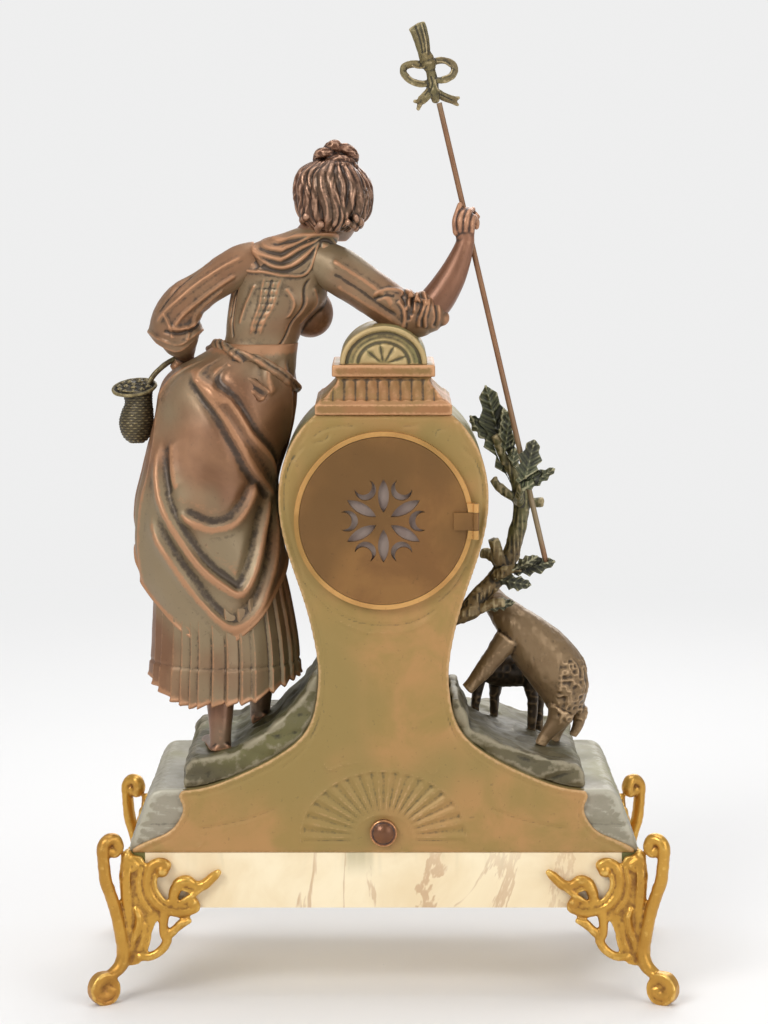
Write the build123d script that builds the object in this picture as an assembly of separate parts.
"""Figural mantel clock, its movement door toward -Y and its dial toward +Y.

Millimetres, +Z up, with the origin on the floor under the middle of the four feet.
"""
import os
from math import atan2, cos, degrees, hypot, radians, sin

from build123d import *

os.makedirs("parts", exist_ok=True)

# driving dimensions of the base
FOOT_HEIGHT = 54.6
SLAB_THICK = 32.7
SLAB_WIDTH = 276.0
SLAB_DEPTH = 142.0
CORNER_BLOCK = 8.0
CORNER_BLOCK_DEPTH = 15.0

# driving dimensions of the case
CASE_WIDTH = 291.0
CASE_HEIGHT = 254.4
BASE_DEPTH = 145.0
BODY_DEPTH = 80.0
CASE_WALL = 4.0
PANEL_THICK = 3.0
PANEL_PROUD = 1.0
DIAL_HOLE_MARGIN = 3.0

# driving dimensions of the movement and its two doors
DIAL_RADIUS = 42.0
DOOR_RADIUS = 48.0
PLATE_RADIUS = 40.0
PLATE_THICK = 2.0
PLATE_SPACE = 28.0

# shared clearances and the overrun of every cut
RUN_GAP = 0.3
PIN_GAP = 0.05
OVERRUN = 1.0

# levels and places that the driving dimensions give
SLAB_Z = FOOT_HEIGHT
CASE_Z = SLAB_Z + SLAB_THICK
CASE_TOP = CASE_Z + CASE_HEIGHT
HALF_CASE = CASE_WIDTH / 2
BACK_Y = -SLAB_DEPTH / 2 - PANEL_PROUD
BASE_FRONT_Y = BACK_Y + BASE_DEPTH
BODY_FRONT_Y = BACK_Y + BODY_DEPTH
PANEL_INNER_Y = BACK_Y + PANEL_THICK
MOVEMENT_SHARE = 0.764
MOVEMENT_Z = CASE_Z + MOVEMENT_SHARE * CASE_HEIGHT


def back_plane(y):
    """Upright plane at y whose own x and y run along +X and +Z."""
    return Plane(origin=(0, y, 0), x_dir=(1, 0, 0), z_dir=(0, -1, 0))


def prism(outline, y_low, y_high):
    """Solid of an upright outline between two depths."""
    return extrude(back_plane(y_high) * outline, amount=y_high - y_low)


def disc(x, z, radius):
    return Pos(x, z) * Circle(radius)


def ring(x, z, outer, inner):
    return disc(x, z, outer) - disc(x, z, inner)


def block(x_range, y_range, z_range):
    """Box between two corners, given as pairs of low and high."""
    size = [high - low for low, high in (x_range, y_range, z_range)]
    middle = [(low + high) / 2 for low, high in (x_range, y_range, z_range)]
    return Pos(*middle) * Box(*size)


def post(x, y, radius, z_low, z_high):
    """Upright round bar."""
    return Pos(x, y, (z_low + z_high) / 2) * Cylinder(radius, z_high - z_low)


def group(solids):
    return Compound(children=list(solids))


def section_plane(point, direction, guide):
    """Plane square to direction, with its x axis as near to guide as it can be."""
    along = Vector(*direction).normalized()
    across = Vector(*guide) - along * Vector(*guide).dot(along)
    return Plane(origin=point, x_dir=across.normalized(), z_dir=along)


def limb(stations, guide=(0, 1, 0)):
    """Smooth round body through stations of (x, y, z, radius)."""
    points = [Vector(*station[:3]) for station in stations]
    last = len(points) - 1
    faces = []
    for index, station in enumerate(stations):
        ahead = points[min(index + 1, last)]
        behind = points[max(index - 1, 0)]
        plane = section_plane(points[index], tuple(ahead - behind), guide)
        faces.append(plane * Circle(station[3]))
    return loft(faces)


def oval_stack(stations):
    """Smooth body through level ovals of (x, y, z, half width, half depth)."""
    return loft([Plane(origin=(x, y, z)) * Ellipse(wide, deep) for x, y, z, wide, deep in stations])


def ellipsoid(x, y, z, half_x, half_y, half_z):
    return Pos(x, y, z) * scale(Sphere(1), by=(half_x, half_y, half_z))


# marble slab, corner blocks and their fasteners
STUD_RADIUS = 2.5
STUD_NUT_RADIUS = 5.5
STUD_NUT_THICK = 4.0
STUD_X_SHARE = 0.6
STUD_Y_SHARE = 0.6
FOOT_SCREW_RADIUS = 2.0
FOOT_SCREW_HEAD_RADIUS = 3.6
FOOT_SCREW_HEAD_THICK = 2.4
FOOT_SCREW_DEPTH = 14.0
FOOT_SCREW_INSET = 10.0


def stud_places():
    return [
        (side * STUD_X_SHARE * SLAB_WIDTH / 2, depth * STUD_Y_SHARE * SLAB_DEPTH / 2)
        for side in (-1, 1)
        for depth in (-1, 1)
    ]


def foot_screw_places():
    return [
        (side * (SLAB_WIDTH / 2 - FOOT_SCREW_INSET), depth * (SLAB_DEPTH / 2 - FOOT_SCREW_INSET))
        for side in (-1, 1)
        for depth in (-1, 1)
    ]


def marble_slab():
    slab = block(
        (-SLAB_WIDTH / 2, SLAB_WIDTH / 2), (-SLAB_DEPTH / 2, SLAB_DEPTH / 2), (SLAB_Z, CASE_Z)
    )
    for x, y in stud_places():
        slab -= post(x, y, STUD_RADIUS, SLAB_Z - OVERRUN, CASE_Z + OVERRUN)
    for x, y in foot_screw_places():
        slab -= post(x, y, FOOT_SCREW_RADIUS, SLAB_Z - OVERRUN, SLAB_Z + FOOT_SCREW_DEPTH)
    return slab


def corner_blocks():
    solids = []
    for side in (-1, 1):
        for depth in (-1, 1):
            inner_x = side * SLAB_WIDTH / 2
            outer_y = depth * SLAB_DEPTH / 2
            x_range = sorted((inner_x, inner_x + side * CORNER_BLOCK))
            y_range = sorted((outer_y, outer_y - depth * CORNER_BLOCK_DEPTH))
            solids.append(block(x_range, y_range, (SLAB_Z, CASE_Z)))
    return group(solids)


def base_fasteners():
    """Studs that hold the case to the slab, and the screws of the feet."""
    solids = []
    for x, y in stud_places():
        shank = post(x, y, STUD_RADIUS, SLAB_Z, CASE_Z)
        nut = post(x, y, STUD_NUT_RADIUS, SLAB_Z - STUD_NUT_THICK, SLAB_Z)
        solids.append(shank + nut)
    for x, y in foot_screw_places():
        low = SLAB_Z - SHELF_THICK
        shank = post(x, y, FOOT_SCREW_RADIUS, low, SLAB_Z + FOOT_SCREW_DEPTH)
        head = post(x, y, FOOT_SCREW_HEAD_RADIUS, low - FOOT_SCREW_HEAD_THICK, low)
        solids.append(shank + head)
    return group(solids)


# cast feet: two pierced wings on the slab's corner and a rib that ends in a volute
WING_THICK = 5.0
WING_REACH = 52.9
RIB_THICK = 7.0
RIB_TURN = 30.0
RIB_REACH = 16.2
RIB_HEIGHT = 99.5
SHELF_THICK = 4.0
SHELF_LONG = 30.0
SHELF_WIDE = 25.0
VOLUTE_RADIUS = 9.5
VOLUTE_FLAT = 0.3
VOLUTE_SHIFT_SHARE = 0.125
CURL_RADIUS = 6.5
WING_SHARES = (
    (0.00, 0.868), (0.16, 0.858), (0.39, 0.832), (0.69, 0.800), (1.00, 0.757),
    (0.84, 0.655), (0.63, 0.560), (0.68, 0.458), (0.51, 0.369), (0.33, 0.300),
    (0.14, 0.262), (0.00, 0.280),
)
RIB_OUTER_SHARES = (
    (1.00, 0.900), (0.98, 0.786), (0.85, 0.697), (0.49, 0.548), (0.21, 0.369), (0.22, 0.291),
)
RIB_INNER_SHARES = ((-0.56, 0.540), (-0.52, 0.370), (-0.42, 0.250), (-0.20, 0.160))
HOLE_WIDE_SHARE = 0.085
HOLE_HIGH_SHARE = 0.080
HOLE_U_SHARE = 0.27
HOLE_Z_SHARE = 0.43


def wing_outline():
    """Scrolled outline in (distance from the corner, height)."""
    points = [(u * WING_REACH, z * RIB_HEIGHT) for u, z in WING_SHARES]
    face = make_face([Spline(points), Line(points[-1], points[0])])
    window = Pos(HOLE_U_SHARE * WING_REACH, HOLE_Z_SHARE * RIB_HEIGHT) * Ellipse(
        HOLE_WIDE_SHARE * WING_REACH, HOLE_HIGH_SHARE * RIB_HEIGHT
    )
    return face - window


def rib_outline():
    """Leg profile in (distance along the diagonal, height), volute at the floor."""
    outer = [(d * RIB_REACH, z * RIB_HEIGHT) for d, z in RIB_OUTER_SHARES]
    inner = [(d * RIB_REACH, z * RIB_HEIGHT) for d, z in RIB_INNER_SHARES]
    volute_x = RIB_REACH - VOLUTE_SHIFT_SHARE * VOLUTE_RADIUS
    volute_z = VOLUTE_RADIUS - VOLUTE_FLAT
    leg = make_face([
        Spline([*outer, (volute_x, volute_z + VOLUTE_RADIUS)]),
        Line((volute_x, volute_z + VOLUTE_RADIUS), (volute_x - VOLUTE_RADIUS, volute_z)),
        Spline([(volute_x - VOLUTE_RADIUS, volute_z), *reversed(inner)]),
        Line(inner[0], (0, FOOT_HEIGHT)),
        Line((0, FOOT_HEIGHT), (0, outer[0][1])),
        Line((0, outer[0][1]), outer[0]),
    ])
    curl = Pos(RIB_REACH - CURL_RADIUS, RIB_HEIGHT - CURL_RADIUS) * Circle(CURL_RADIUS)
    return leg + Pos(volute_x, volute_z) * Circle(VOLUTE_RADIUS) + curl


def foot(side, depth):
    """Foot at the corner whose signs are side (X) and depth (Y)."""
    corner_x = SLAB_WIDTH / 2 + CORNER_BLOCK
    corner_y = SLAB_DEPTH / 2
    wing = wing_outline()
    rear_plane = Plane(origin=(corner_x, corner_y, 0), x_dir=(-1, 0, 0), z_dir=(0, 1, 0))
    side_plane = Plane(origin=(corner_x, corner_y, 0), x_dir=(0, -1, 0), z_dir=(-1, 0, 0))
    turn = radians(RIB_TURN)
    half_wing = WING_THICK / 2
    rib_plane = Plane(
        origin=(corner_x + half_wing, corner_y + half_wing, 0),
        x_dir=(cos(turn), sin(turn), 0),
        z_dir=(sin(turn), -cos(turn), 0),
    )
    rear_wing = extrude(rear_plane * wing, amount=WING_THICK)
    side_wing = extrude(side_plane * wing, amount=-WING_THICK)
    rib = extrude(rib_plane * rib_outline(), amount=RIB_THICK / 2, both=True)
    heel = block(
        (corner_x - SHELF_THICK, corner_x + WING_THICK),
        (corner_y - SHELF_THICK, corner_y + WING_THICK),
        (RIB_HEIGHT * RIB_INNER_SHARES[2][1], FOOT_HEIGHT),
    )
    corner = block(
        (corner_x, corner_x + WING_THICK),
        (corner_y, corner_y + WING_THICK),
        (RIB_HEIGHT * RIB_INNER_SHARES[2][1], RIB_HEIGHT * WING_SHARES[0][1]),
    )
    shelf = block(
        (corner_x - SHELF_LONG, corner_x + half_wing),
        (corner_y - SHELF_WIDE, corner_y + half_wing),
        (FOOT_HEIGHT - SHELF_THICK, FOOT_HEIGHT),
    )
    below = block((0, CASE_WIDTH), (0, CASE_WIDTH), (-CASE_WIDTH, 0))
    slab_space = block((0, corner_x), (0, corner_y), (FOOT_HEIGHT, CASE_Z + CASE_HEIGHT))
    screw_x = SLAB_WIDTH / 2 - FOOT_SCREW_INSET
    screw_y = SLAB_DEPTH / 2 - FOOT_SCREW_INSET
    screw = post(screw_x, screw_y, FOOT_SCREW_RADIUS, 0, FOOT_HEIGHT + OVERRUN)
    solid = rear_wing + side_wing + corner + rib + heel + shelf - below - slab_space - screw
    if side < 0:
        solid = mirror(solid, about=Plane.YZ)
    if depth < 0:
        solid = mirror(solid, about=Plane.XZ)
    return solid


# case outline, half of it, as shares of the half width and of the height
OGEE_SHARES = (
    (1.000, 0.007), (0.892, 0.037), (0.852, 0.049), (0.804, 0.084), (0.796, 0.107),
    (0.811, 0.130), (0.797, 0.144),
)
BASE_SHARES = (
    (1.017, 0.007), (0.999, 0.030), (0.976, 0.066), (0.951, 0.100),
    (0.935, 0.125), (0.915, 0.138), (0.887, 0.144),
)
BASE_TOP_SHARE = 0.144
BASE_TOP = CASE_Z + BASE_TOP_SHARE * CASE_HEIGHT
BODY_SHARES = (
    (0.797, 0.144), (0.701, 0.152), (0.570, 0.180), (0.412, 0.227), (0.316, 0.274),
    (0.278, 0.317), (0.265, 0.353), (0.258, 0.423), (0.274, 0.490), (0.309, 0.571),
    (0.347, 0.636), (0.396, 0.730), (0.412, 0.809), (0.388, 0.899), (0.326, 0.966),
    (0.267, 1.000),
)
PANEL_HOLE_GAP = 2.0
KNOB_RADIUS = 7.7
KNOB_HEIGHT = 7.0
KNOB_SHANK_RADIUS = 2.0
KNOB_Z_SHARE = 0.049


def case_points(shares):
    return [(x * HALF_CASE, CASE_Z + z * CASE_HEIGHT) for x, z in shares]


def mirror_face(*point_rows, floor=CASE_Z):
    """Face between smooth right-hand rows of points and their mirror images."""
    edges = []
    for points in point_rows:
        edges.append(Spline(points))
        edges.append(Spline([(-x, z) for x, z in points]))
    first_x, first_z = point_rows[0][0]
    last_x, last_z = point_rows[-1][-1]
    foot_line = ((first_x, first_z), (first_x, floor), (-first_x, floor), (-first_x, first_z))
    edges.append(Polyline(*foot_line))
    edges.append(Line((-last_x, last_z), (last_x, last_z)))
    return make_face(edges)


def full_outline():
    return mirror_face(case_points(OGEE_SHARES), case_points(BODY_SHARES))


def inner_outline(*share_rows):
    """Outline one wall inside the given rows, over a floor one wall thick."""
    rows = [[(x - CASE_WALL, z - CASE_WALL) for x, z in case_points(shares)] for shares in share_rows]
    rows[0] = [point for point in rows[0] if point[1] > CASE_Z + CASE_WALL]
    return mirror_face(*rows, floor=CASE_Z + CASE_WALL)


def case_solid():
    """Whole outer volume of the case, panel included."""
    body = prism(full_outline(), BACK_Y, BODY_FRONT_Y)
    base = prism(mirror_face(case_points(BASE_SHARES)), PANEL_INNER_Y, BASE_FRONT_Y)
    return body + base


def case_base():
    """Moulded foot of the case, hollow, its rear opening no larger than the panel."""
    base = prism(mirror_face(case_points(BASE_SHARES)), PANEL_INNER_Y, BASE_FRONT_Y)
    rear_opening = prism(
        inner_outline(OGEE_SHARES), PANEL_INNER_Y - OVERRUN, PANEL_INNER_Y + CASE_WALL + OVERRUN
    )
    space = prism(inner_outline(BASE_SHARES), PANEL_INNER_Y + CASE_WALL, BASE_FRONT_Y - CASE_WALL)
    return base - rear_opening - space


def case_shell():
    """Hollow casting on the base, open at the back, with the dial's hole in its front wall."""
    body = prism(full_outline(), PANEL_INNER_Y, BODY_FRONT_Y)
    body_space = prism(
        inner_outline(OGEE_SHARES, BODY_SHARES), PANEL_INNER_Y - OVERRUN, BODY_FRONT_Y - CASE_WALL
    )
    dial_hole = prism(
        disc(0, MOVEMENT_Z, DIAL_RADIUS + DIAL_HOLE_MARGIN),
        BODY_FRONT_Y - CASE_WALL - OVERRUN,
        BODY_FRONT_Y + OVERRUN,
    )
    below = block((-CASE_WIDTH, CASE_WIDTH), (BACK_Y, BODY_FRONT_Y), (CASE_Z - OVERRUN, BASE_TOP))
    return body - body_space - dial_hole - below


def case_back_panel():
    panel = prism(full_outline(), BACK_Y, PANEL_INNER_Y)
    door_hole = prism(
        disc(0, MOVEMENT_Z, DOOR_RADIUS - PANEL_HOLE_GAP), BACK_Y - OVERRUN, PANEL_INNER_Y + OVERRUN
    )
    knob_z = CASE_Z + KNOB_Z_SHARE * CASE_HEIGHT
    knob_hole = prism(
        disc(0, knob_z, KNOB_SHANK_RADIUS + PIN_GAP), BACK_Y - OVERRUN, PANEL_INNER_Y + OVERRUN
    )
    return panel - door_hole - knob_hole


def panel_knob():
    """Domed screw at the foot of the panel."""
    knob_z = CASE_Z + KNOB_Z_SHARE * CASE_HEIGHT
    dome = ellipsoid(0, BACK_Y, knob_z, KNOB_RADIUS, KNOB_HEIGHT, KNOB_RADIUS)
    knob_span = (knob_z - KNOB_RADIUS, knob_z + KNOB_RADIUS)
    front = block((-KNOB_RADIUS, KNOB_RADIUS), (BACK_Y, 0), knob_span)
    shank = prism(disc(0, knob_z, KNOB_SHANK_RADIUS), BACK_Y - OVERRUN, PANEL_INNER_Y + CASE_WALL)
    return dome - front + shank


# cornice and arched pediment
CORNICE_SILL_WIDTH = 78.0
CORNICE_SILL_HIGH = 5.8
NECK_TOP_WIDTH = 51.6
NECK_HIGH = 15.2
CAP_WIDTH = 58.8
CAP_HIGH = 6.8
CORNICE_OVERHANG = 2.0
PEDIMENT_HALF = 25.0
PEDIMENT_HIGH = 22.0
PEDIMENT_RIM = 3.2
PEDIMENT_RECESS = 1.6
NECK_SHARES = ((0.0, 1.0), (0.25, 0.60), (0.6, 0.22), (1.0, 0.0))
CORNICE_MID_Y = (BACK_Y + BODY_FRONT_Y) / 2
SILL_DEPTH = BODY_DEPTH + 2 * CORNICE_OVERHANG
SILL_TOP = CASE_TOP + CORNICE_SILL_HIGH
NECK_TOP = SILL_TOP + NECK_HIGH
CAP_TOP = NECK_TOP + CAP_HIGH
STANDING = (Align.CENTER, Align.CENTER, Align.MIN)


def case_cornice():
    """Flat sill, hollow-curved neck and flat cap."""
    depth_less = SILL_DEPTH - CORNICE_SILL_WIDTH
    sill = Pos(0, CORNICE_MID_Y, CASE_TOP) * Box(
        CORNICE_SILL_WIDTH, SILL_DEPTH, CORNICE_SILL_HIGH, align=STANDING
    )
    sections = []
    for rise, spread in NECK_SHARES:
        width = NECK_TOP_WIDTH + spread * (CORNICE_SILL_WIDTH - NECK_TOP_WIDTH)
        plane = Plane(origin=(0, CORNICE_MID_Y, SILL_TOP + rise * NECK_HIGH))
        sections.append(plane * Rectangle(width, width + depth_less))
    neck = loft(sections)
    cap = Pos(0, CORNICE_MID_Y, NECK_TOP) * Box(
        CAP_WIDTH, CAP_WIDTH + depth_less, CAP_HIGH, align=STANDING
    )
    return sill + neck + cap


def pediment_depths():
    reach = (CAP_WIDTH + SILL_DEPTH - CORNICE_SILL_WIDTH) / 2 - CORNICE_OVERHANG
    return CORNICE_MID_Y - reach, CORNICE_MID_Y + reach


def case_pediment():
    """Half-oval arch with a recessed field on its rear face."""
    low_y, high_y = pediment_depths()
    field = Pos(0, CAP_TOP) * Ellipse(PEDIMENT_HALF - PEDIMENT_RIM, PEDIMENT_HIGH - PEDIMENT_RIM)
    under = Pos(0, CAP_TOP - PEDIMENT_HIGH) * Rectangle(2 * CASE_WIDTH, 2 * PEDIMENT_HIGH)
    arch = Pos(0, CAP_TOP) * Ellipse(PEDIMENT_HALF, PEDIMENT_HIGH) - under
    return prism(arch, low_y, high_y) - prism(field, low_y - OVERRUN, low_y + PEDIMENT_RECESS)


# rocks on the shoulders, as shares of the half width and height of the case
ROCK_LEFT_SHARES = (
    (-0.797, 0.144), (-0.790, 0.190), (-0.763, 0.211), (-0.603, 0.223), (-0.441, 0.282),
    (-0.320, 0.353), (-0.259, 0.411), (-0.230, 0.411), (-0.230, 0.144),
)
ROCK_RIGHT_SHARES = (
    (0.804, 0.144), (0.790, 0.190), (0.768, 0.199), (0.646, 0.213), (0.465, 0.246),
    (0.344, 0.282), (0.296, 0.353), (0.240, 0.353), (0.230, 0.144),
)
ROCK_BACK_INSET = 6.0
ROCK_FRONT_INSET = 8.0
ROCK_FRONT_SHARE = 0.25


def rock(shares):
    """Rocky ground on one shoulder of the case, cut to the case's own surface."""
    outline = make_face(Polyline(*case_points(shares), close=True))
    low = Pos(0, CASE_Z) * Rectangle(2 * CASE_WIDTH, 2 * ROCK_FRONT_SHARE * CASE_HEIGHT)
    behind = prism(outline, BACK_Y + ROCK_BACK_INSET, BODY_FRONT_Y)
    ahead = prism(outline & low, BODY_FRONT_Y, BASE_FRONT_Y - ROCK_FRONT_INSET)
    return behind + ahead - case_solid()


# figure, all of it as shares of its height, from the point under its feet
FIGURE_SHARE = 1.3758
FIGURE_HEIGHT = FIGURE_SHARE * CASE_HEIGHT
FIGURE_X_SHARE = 0.653
FIGURE_Z_SHARE = 0.1954
FIGURE_BACK = 52.0
FIGURE_X = -FIGURE_X_SHARE * HALF_CASE
FIGURE_Y = BACK_Y + FIGURE_BACK
FIGURE_Z = CASE_Z + FIGURE_Z_SHARE * CASE_HEIGHT
UNDERSKIRT_SHARES = (
    (0.114, 0.005, 0.000, 0.122, 0.109), (0.151, 0.004, 0.000, 0.122, 0.107),
    (0.200, 0.004, 0.000, 0.118, 0.104),
)
OVERSKIRT_SHARES = (
    (0.200, 0.004, 0.000, 0.116, 0.100), (0.243, 0.000, 0.000, 0.116, 0.106),
    (0.283, -0.011, 0.000, 0.123, 0.111), (0.329, -0.017, 0.000, 0.127, 0.116),
    (0.380, -0.023, 0.000, 0.124, 0.117), (0.431, -0.025, 0.000, 0.119, 0.116),
    (0.474, -0.020, 0.000, 0.114, 0.113), (0.523, -0.007, 0.000, 0.116, 0.109),
    (0.571, 0.004, 0.000, 0.115, 0.103), (0.614, 0.011, 0.000, 0.113, 0.094),
    (0.646, 0.023, 0.000, 0.103, 0.080), (0.671, 0.046, 0.000, 0.081, 0.063),
    (0.697, 0.069, 0.000, 0.061, 0.046),
)
TORSO_SHARES = (
    (0.697, 0.069, 0.000, 0.061, 0.046), (0.726, 0.077, 0.000, 0.066, 0.050),
    (0.757, 0.094, 0.009, 0.080, 0.060), (0.789, 0.100, 0.006, 0.080, 0.057),
    (0.820, 0.109, -0.006, 0.083, 0.049), (0.849, 0.120, -0.014, 0.083, 0.039),
    (0.869, 0.143, -0.017, 0.051, 0.031), (0.883, 0.160, -0.017, 0.029, 0.026),
)
HEAD_SHARES = (
    (0.883, 0.160, -0.017, 0.027, 0.025), (0.897, 0.167, -0.012, 0.025, 0.025),
    (0.907, 0.176, -0.005, 0.029, 0.034), (0.920, 0.188, 0.000, 0.040, 0.047),
    (0.936, 0.194, -0.002, 0.045, 0.053), (0.954, 0.195, -0.004, 0.045, 0.052),
    (0.972, 0.195, -0.006, 0.036, 0.041), (0.985, 0.195, -0.008, 0.018, 0.022),
)
FACE_Y_SHARE = 0.020
FACE_Z_SHARE = 0.966
HAIR_SHARES = (0.937, 0.186, -0.020, 0.059, 0.060, 0.054)
BUN_SHARES = (1.003, 0.194, -0.017, 0.033, 0.030, 0.023)
LEFT_UPPER_SHARES = (
    (0.829, 0.054, -0.011, 0.029), (0.809, 0.014, -0.011, 0.033), (0.783, -0.026, -0.011, 0.031),
    (0.757, -0.060, -0.009, 0.036), (0.731, -0.074, 0.000, 0.039), (0.703, -0.073, 0.009, 0.044),
)
LEFT_FORE_SHARES = (
    (0.709, -0.071, 0.014, 0.026), (0.686, -0.069, 0.029, 0.024), (0.669, -0.054, 0.057, 0.020),
    (0.660, -0.034, 0.086, 0.016), (0.654, -0.017, 0.111, 0.016),
)
RIGHT_UPPER_SHARES = (
    (0.829, 0.169, -0.017, 0.034), (0.809, 0.203, -0.023, 0.039), (0.777, 0.249, -0.029, 0.036),
    (0.751, 0.294, -0.031, 0.036), (0.743, 0.329, -0.034, 0.037), (0.740, 0.351, -0.034, 0.034),
)
RIGHT_FORE_SHARES = (
    (0.737, 0.343, -0.034, 0.031), (0.763, 0.360, -0.034, 0.031), (0.797, 0.380, -0.037, 0.025),
    (0.831, 0.397, -0.040, 0.020), (0.860, 0.406, -0.043, 0.016),
)
RIGHT_HAND_SHARES = (
    (0.860, 0.406, -0.043, 0.016), (0.883, 0.409, -0.043, 0.018), (0.911, 0.410, -0.040, 0.011),
)
NEAR_LEG_SHARES = (
    (0.114, -0.003, -0.057, 0.024), (0.083, -0.001, -0.063, 0.022), (0.054, -0.001, -0.069, 0.019),
    (0.020, -0.001, -0.071, 0.018),
)
FAR_LEG_SHARES = (
    (0.114, 0.061, 0.046, 0.023), (0.091, 0.061, 0.043, 0.021), (0.071, 0.061, 0.043, 0.018),
    (0.050, 0.061, 0.043, 0.018),
)
NEAR_SHOE_SHARES = (
    (0.016, 0.003, -0.089, 0.013), (0.016, 0.000, -0.071, 0.019), (0.014, -0.009, -0.037, 0.017),
    (0.012, -0.020, -0.003, 0.014), (0.010, -0.031, 0.031, 0.009),
)
FAR_SHOE_SHARES = (
    (0.046, 0.060, 0.026, 0.013), (0.046, 0.063, 0.043, 0.018), (0.044, 0.071, 0.074, 0.015),
    (0.042, 0.083, 0.106, 0.013), (0.040, 0.094, 0.134, 0.008),
)


def figure_station(row):
    """Share row (z, x, y, sizes) as a station (x, y, z, sizes) in millimetres."""
    z, x, y, *sizes = [share * FIGURE_HEIGHT for share in row]
    return (FIGURE_X + x, FIGURE_Y + y, FIGURE_Z + z, *sizes)


def figure_limb(shares):
    return limb([figure_station(row) for row in shares])


def figure_stack(shares):
    return oval_stack([figure_station(row) for row in shares])


def figure_pieces():
    """The figure's castings, each cut to the one that it is fixed to."""
    case = case_solid()
    stone = rock(ROCK_LEFT_SHARES)
    torso = figure_stack(TORSO_SHARES)
    overskirt = figure_stack(OVERSKIRT_SHARES) - case
    underskirt = figure_stack(UNDERSKIRT_SHARES) - case - stone
    skirts = overskirt + underskirt
    head = figure_stack(HEAD_SHARES)
    hair = ellipsoid(*figure_station(HAIR_SHARES)) + ellipsoid(*figure_station(BUN_SHARES))
    face_cut = block(
        (FIGURE_X - FIGURE_HEIGHT, FIGURE_X + FIGURE_HEIGHT),
        (FIGURE_Y + FACE_Y_SHARE * FIGURE_HEIGHT, FIGURE_Y + FIGURE_HEIGHT),
        (FIGURE_Z, FIGURE_Z + FACE_Z_SHARE * FIGURE_HEIGHT),
    )
    hair = hair - head - torso - face_cut
    left_arm = figure_limb(LEFT_UPPER_SHARES) + figure_limb(LEFT_FORE_SHARES) - torso - overskirt
    right_arm = figure_limb(RIGHT_UPPER_SHARES) + figure_limb(RIGHT_FORE_SHARES)
    right_arm = right_arm - torso - case_pediment() - case_cornice() - staff_line(STAFF_RADIUS)
    right_hand = figure_limb(RIGHT_HAND_SHARES) - right_arm - staff_line(STAFF_RADIUS)
    near = figure_limb(NEAR_LEG_SHARES) + figure_limb(NEAR_SHOE_SHARES)
    far = figure_limb(FAR_LEG_SHARES) + figure_limb(FAR_SHOE_SHARES)
    return {
        "torso_bodice": torso,
        "overskirt": overskirt,
        "underskirt": underskirt,
        "head": head,
        "hair": hair,
        "left_arm": left_arm,
        "right_arm": right_arm,
        "right_hand": right_hand,
        "legs_shoes": group([near - skirts - stone - case, far - skirts - stone - case]),
    }


# basket on the left arm
BASKET_SHARES = (
    (0.524, -0.140, 0.014, 0.014), (0.538, -0.145, 0.014, 0.026), (0.560, -0.150, 0.014, 0.030),
    (0.590, -0.150, 0.014, 0.024), (0.612, -0.150, 0.014, 0.026), (0.622, -0.151, 0.014, 0.032),
)
FLOWER_SHARES = (
    (0.622, -0.151, 0.014, 0.030), (0.632, -0.152, 0.014, 0.022), (0.638, -0.152, 0.014, 0.010),
)
HANDLE_SHARES = (
    (0.622, -0.126, 0.014), (0.640, -0.112, 0.018), (0.656, -0.092, 0.024), (0.664, -0.074, 0.030),
)
HANDLE_RADIUS = 1.8


def basket(left_arm):
    """Bowl cast with its heap of flowers and the handle that hangs on the arm."""
    stations = [(*figure_station(row)[:3], HANDLE_RADIUS) for row in HANDLE_SHARES]
    handle = limb(stations) - left_arm
    return figure_limb(BASKET_SHARES) + figure_limb(FLOWER_SHARES) + handle


# staff from the low oak leaf, through the hand, to the spud and its bow
STAFF_RADIUS = 1.6
STAFF_FOOT_SHARES = (0.331, 0.5414, -0.060)
STAFF_TOP_SHARES = (1.087, 0.3628, -0.020)
SPUD_RADIUS_SHARES = (0.0060, 0.0085, 0.0070, 0.0120, 0.0150)
SPUD_RISE_SHARES = (-0.004, 0.012, 0.030, 0.080, 0.130)
BOW_TUBE = 1.7
BOW_LOOP_SHARES = (
    (0.008, 0.010), (0.034, 0.036), (0.060, 0.030), (0.062, 0.008), (0.034, 0.000), (0.010, 0.004),
)
BOW_TAIL_SHARES = ((0.006, -0.004), (0.018, -0.022), (0.034, -0.042), (0.040, -0.050))
KNOT_RADIUS = 3.4


def staff_ends():
    foot_z, foot_x, foot_y = STAFF_FOOT_SHARES
    top_z, top_x, top_y = STAFF_TOP_SHARES
    low = figure_station((foot_z, foot_x, foot_y))
    high = figure_station((top_z, top_x, top_y))
    return Vector(*low), Vector(*high)


def staff_line(radius):
    low, high = staff_ends()
    plane = section_plane(low, tuple(high - low), (0, 1, 0))
    return extrude(plane * Circle(radius), amount=(high - low).length)


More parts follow.
